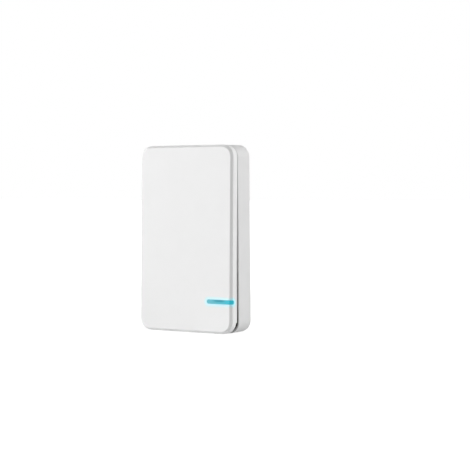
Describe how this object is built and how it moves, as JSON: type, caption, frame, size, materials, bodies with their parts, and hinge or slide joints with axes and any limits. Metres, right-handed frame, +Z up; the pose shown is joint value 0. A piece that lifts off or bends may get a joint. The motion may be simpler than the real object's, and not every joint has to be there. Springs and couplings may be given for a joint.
{
  "type": "wireless remote wall switch",
  "caption": "Surface-mounted battery radio wall switch: a rounded portrait tray covered by one rocker plate hinged near its top, with a short light bar low on its right edge.",
  "frame": {"origin": "centre of the tray's flat back, on the wall plane", "axes": "+Z up along the long side, +Y into the wall, -Y out of the front face"},
  "size_m": [0.0522, 0.0164, 0.0861],
  "materials": {
    "white_shell": "smooth polished white moulding",
    "light_guide": "translucent blue",
    "inner_plastic": "fine satin dark grey moulding",
    "board": "green solder mask",
    "black_plastic": "matte moulded",
    "tinned_steel": "bright tinned sheet",
    "spring_steel": "plated wire",
    "screw_steel": "zinc plated",
    "cell_wrap": "plain dark sleeve, bare ends",
    "lamp_epoxy": "tinted clear epoxy",
    "copper_wire": "enamelled copper wire",
    "ferrite": "sintered, matte",
    "capacitor_body": "fired ceramic",
    "resistor_body": "matte film on ceramic"
  },
  "bodies": {
    "tray": {"housing": "white_shell", "mid_frame": "inner_plastic", "circuit_board": "board", "tact_base_left": "black_plastic", "tact_base_right": "black_plastic", "tact_cover_left": "tinned_steel", "tact_cover_right": "tinned_steel", "tact_leads_left": "tinned_steel", "tact_leads_right": "tinned_steel", "battery": "cell_wrap", "battery_spring": "spring_steel", "spring_plate": "tinned_steel", "battery_plate": "tinned_steel", "return_spring_left": "spring_steel", "return_spring_right": "spring_steel", "indicator_led": "lamp_epoxy", "encoder_chip": "black_plastic", "resonator_can": "tinned_steel", "antenna_coil": "copper_wire", "transistor": "black_plastic", "inductor": "ferrite", "capacitors": "capacitor_body", "resistors": "resistor_body", "frame_screws": "screw_steel"},
    "rocker": {"rocker": "white_shell", "light_bar": "light_guide"},
    "left_plunger": {"plunger_left": "black_plastic"},
    "right_plunger": {"plunger_right": "black_plastic"}
  },
  "joints": [
    {"name": "rocker_tilt", "type": "hinge", "parent": "tray", "child": "rocker", "pos_m": [0, -0.009, 0.0344], "axis": [1, 0, 0], "range_deg": [0, 1.5], "stiffness_Nm_per_rad": 1.2, "springref_deg": -2.86, "deforming": ["return_spring_left", "return_spring_right"]},
    {"name": "left_press", "type": "slide", "parent": "tray", "child": "left_plunger", "axis": [0, 1, 0], "range_m": [0, 0.00053]},
    {"name": "right_press", "type": "slide", "parent": "tray", "child": "right_plunger", "axis": [0, 1, 0], "range_m": [0, 0.00053]}
  ],
  "couplings": [
    {"joint": "left_press", "follows": "rocker_tilt", "m_per_rad": 0.02},
    {"joint": "right_press", "follows": "rocker_tilt", "m_per_rad": 0.02}
  ]
}
